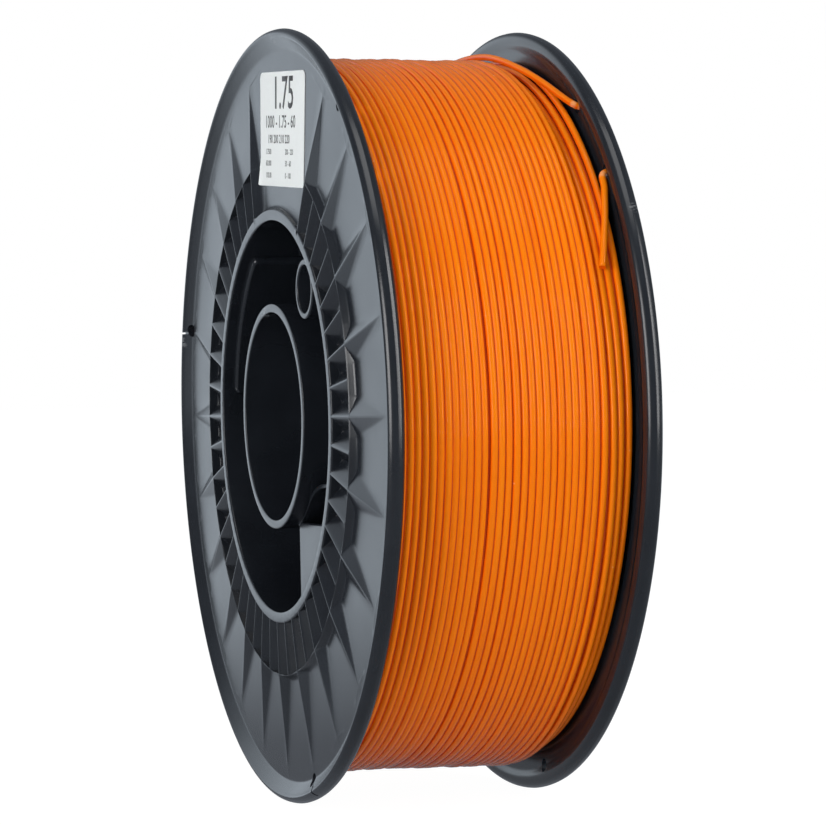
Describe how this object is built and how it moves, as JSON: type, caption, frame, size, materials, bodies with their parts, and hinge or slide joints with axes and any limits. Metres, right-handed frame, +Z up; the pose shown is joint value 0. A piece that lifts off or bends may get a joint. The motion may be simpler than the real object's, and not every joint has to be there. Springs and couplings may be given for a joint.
{
  "type": "filament spool",
  "caption": "Wound spool: a winding of orange plastic filament on a black drum between two wide flanges, with an open spindle bore and a drive pin hole.",
  "frame": {"origin": "centre of the spool, on the spindle axis midway between the two flanges", "axes": "+Y along the spindle axis from the labelled front flange to the rear flange, +Z up through the label side, +X to the right seen from the front"},
  "size_m": [0.2, 0.068, 0.2],
  "materials": {
    "black_plastic": "satin moulded black plastic with fine scuffs",
    "orange_filament": "satin orange extruded strand",
    "label_paper": "matt white paper label"
  },
  "bodies": {
    "root": {"front_half": "black_plastic", "rear_half": "black_plastic", "filament_core": "orange_filament", "filament_outer_turns": "orange_filament", "filament_end": "orange_filament", "front_label": "label_paper"}
  },
  "joints": []
}
